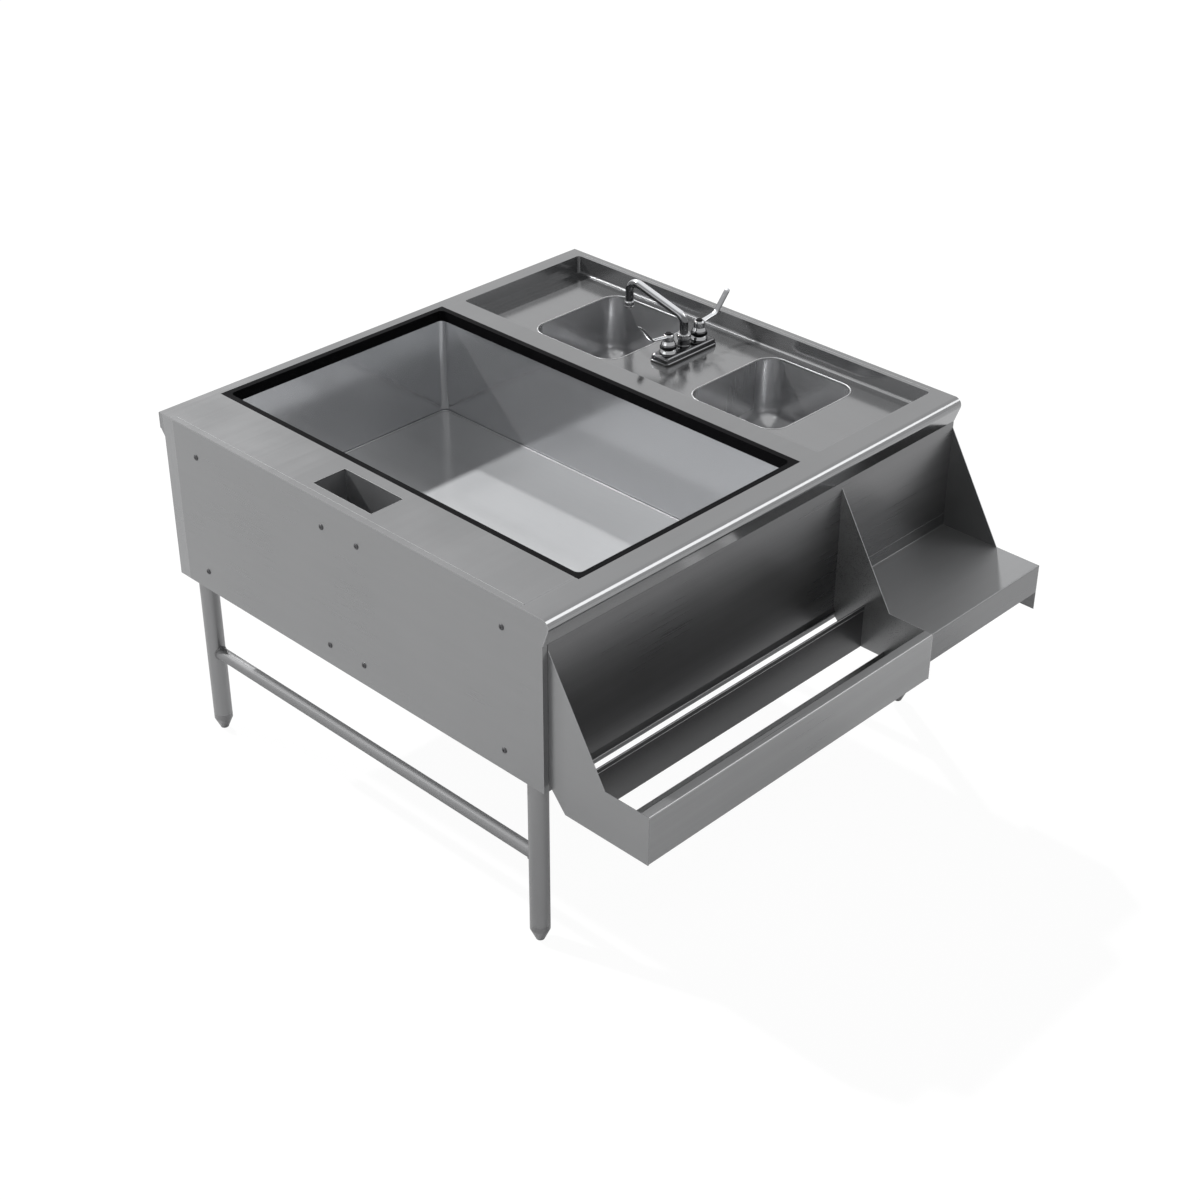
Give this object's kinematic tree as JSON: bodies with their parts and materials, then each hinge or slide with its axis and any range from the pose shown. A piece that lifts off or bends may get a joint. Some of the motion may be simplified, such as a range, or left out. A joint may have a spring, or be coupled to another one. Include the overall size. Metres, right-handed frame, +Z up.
{
  "type": "bar sink with ice bin",
  "caption": "Stainless bar workstation with an insulated ice bin, a sunken drainboard with washing bowls and a deck tap, a waste chute and a front bottle rail, on tubular legs.",
  "frame": {"origin": "on the floor, under the middle of the whole unit, bottle rail included", "axes": "+Z up, -Y towards the user's side with the bottle rail, +X to the user's right, where the bowls are"},
  "size_m": [1.224, 1.387, 0.873],
  "materials": {
    "brushed_sheet": "satin",
    "zinc_sheet": "matt",
    "tube": "satin",
    "foot": "turned",
    "fastener": "bright",
    "drain": "polished",
    "brass_fitting": "turned",
    "tap": "polished",
    "black_plastic": "matt",
    "gasket": "matt",
    "foam": "matt"
  },
  "bodies": {
    "cabinet": {"worktop": "brushed_sheet", "left_side_panel": "brushed_sheet", "right_side_panel": "brushed_sheet", "back_panel": "brushed_sheet", "front_panel": "brushed_sheet", "chute_sleeve": "brushed_sheet", "drainboard_pan": "brushed_sheet", "rear_sink_bowl": "brushed_sheet", "front_sink_bowl": "brushed_sheet", "bin_liner": "brushed_sheet", "rail_left_plate": "brushed_sheet", "rail_divider": "brushed_sheet", "rail_right_plate": "brushed_sheet", "rail_back_plate": "brushed_sheet", "rail_rear_wall": "brushed_sheet", "rail_front_lip": "brushed_sheet", "rail_shelf": "brushed_sheet", "left_panel_posts": "zinc_sheet", "right_panel_posts": "zinc_sheet", "front_channel": "zinc_sheet", "rear_channel": "zinc_sheet", "bin_outer_shell": "zinc_sheet", "leg_sockets": "zinc_sheet", "leg_inserts": "zinc_sheet", "front_left_leg": "tube", "front_right_leg": "tube", "rear_left_leg": "tube", "rear_right_leg": "tube", "left_stretcher": "tube", "right_stretcher": "tube", "panel_screws": "fastener", "rail_fasteners": "fastener", "set_screws": "fastener", "front_sink_strainer": "drain", "rear_sink_strainer": "drain", "sink_tailpieces": "drain", "bin_drain": "drain", "sink_drain_nuts": "brass_fitting", "bin_drain_nut": "brass_fitting", "tap_shanks": "brass_fitting", "shank_nuts": "brass_fitting", "tap_base": "tap", "hot_bonnet": "tap", "cold_bonnet": "tap", "spout_nut": "tap", "bin_breaker_strip": "black_plastic", "valve_rings": "black_plastic", "tap_gasket": "gasket", "bin_insulation": "foam"},
    "spout": {"spout": "tap", "aerator": "tap"},
    "hot_lever": {"hot_lever": "tap", "hot_lever_cap": "tap"},
    "cold_lever": {"cold_lever": "tap", "cold_lever_cap": "tap"},
    "front_left_foot": {"front_left_foot": "foot"},
    "front_right_foot": {"front_right_foot": "foot"},
    "rear_left_foot": {"rear_left_foot": "foot"},
    "rear_right_foot": {"rear_right_foot": "foot"}
  },
  "joints": [
    {"name": "spout_swivel", "type": "hinge", "parent": "cabinet", "child": "spout", "pos_m": [0.4306, 0.1695, 0.778], "axis": [0, 0, 1], "continuous": true},
    {"name": "hot_lever_turn", "type": "hinge", "parent": "cabinet", "child": "hot_lever", "pos_m": [0.3798, 0.1695, 0.776], "axis": [0, 0, 1], "range_deg": [0, 90]},
    {"name": "cold_lever_turn", "type": "hinge", "parent": "cabinet", "child": "cold_lever", "pos_m": [0.4814, 0.1695, 0.776], "axis": [0, 0, 1], "range_deg": [-90, 0]},
    {"name": "front_left_foot_height", "type": "slide", "parent": "cabinet", "child": "front_left_foot", "axis": [0, 0, -1], "range_m": [0, 0.025]},
    {"name": "front_right_foot_height", "type": "slide", "parent": "cabinet", "child": "front_right_foot", "axis": [0, 0, -1], "range_m": [0, 0.025]},
    {"name": "rear_left_foot_height", "type": "slide", "parent": "cabinet", "child": "rear_left_foot", "axis": [0, 0, -1], "range_m": [0, 0.025]},
    {"name": "rear_right_foot_height", "type": "slide", "parent": "cabinet", "child": "rear_right_foot", "axis": [0, 0, -1], "range_m": [0, 0.025]}
  ]
}
